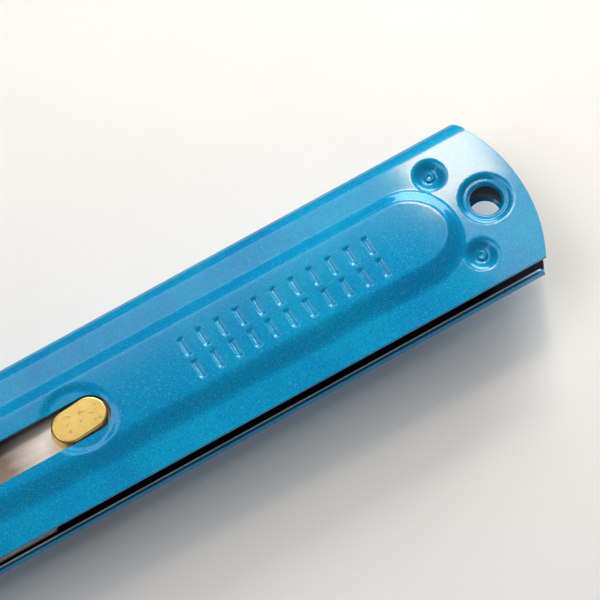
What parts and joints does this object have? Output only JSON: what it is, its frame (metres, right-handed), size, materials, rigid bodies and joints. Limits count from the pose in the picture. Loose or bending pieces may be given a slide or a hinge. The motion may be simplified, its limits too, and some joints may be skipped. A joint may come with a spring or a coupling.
{
  "type": "hobby craft knife",
  "caption": "Flat craft knife: folded blue steel case, sliding skew blade moved by a brass stud in a slot and locked by a grooved thumb nut on the back, hanging hole in the arched tail.",
  "frame": {"origin": "centre of the hanging hole, half way through the thickness of the case", "axes": "+X along the knife toward its tail, so the blade leaves toward -X; +Y toward the folded edge; +Z out of the face with the brass stud"},
  "size_m": [0.125, 0.0188, 0.0104],
  "materials": {
    "case_paint": "metallic blue stoving paint over pressed steel",
    "rivet_paint": "rivet ends painted over with the case",
    "zinc_steel": "zinc-plated mild steel",
    "glide_nylon": "moulded black nylon",
    "blade_steel": "ground and polished carbon steel",
    "spring_steel": "blued spring steel",
    "stud_brass": "turned brass, worn and scratched on top",
    "nut_brass": "turned and grooved brass",
    "washer_steel": "nickel-plated steel"
  },
  "bodies": {
    "case": {"handle_case": "case_paint", "tail_rivets": "rivet_paint", "rivet_sleeves": "zinc_steel", "front_mouth_guide": "glide_nylon", "back_mouth_guide": "glide_nylon"},
    "blade_slider": {"blade": "blade_steel", "blade_rivets": "zinc_steel", "slide_plate": "zinc_steel", "blade_carrier": "zinc_steel", "drag_spring": "spring_steel", "spring_rivet": "zinc_steel", "slide_stud": "stud_brass"},
    "washer": {"clamp_washer": "washer_steel"},
    "nut": {"thumb_nut": "nut_brass"}
  },
  "joints": [
    {"name": "blade_slide", "type": "slide", "parent": "case", "child": "blade_slider", "axis": [-1, 0, 0], "range_m": [0, 0.044]},
    {"name": "washer_lift", "type": "slide", "parent": "blade_slider", "child": "washer", "axis": [0, 0, -1], "range_m": [0, 0.0005]},
    {"name": "nut_turn", "type": "hinge", "parent": "washer", "child": "nut", "pos_m": [-0.0496, 0, -0.0055], "axis": [0, 0, -1], "range_deg": [0, 360]}
  ],
  "couplings": [
    {"joint": "nut_turn", "follows": "washer_lift", "rad_per_m": 12566}
  ]
}
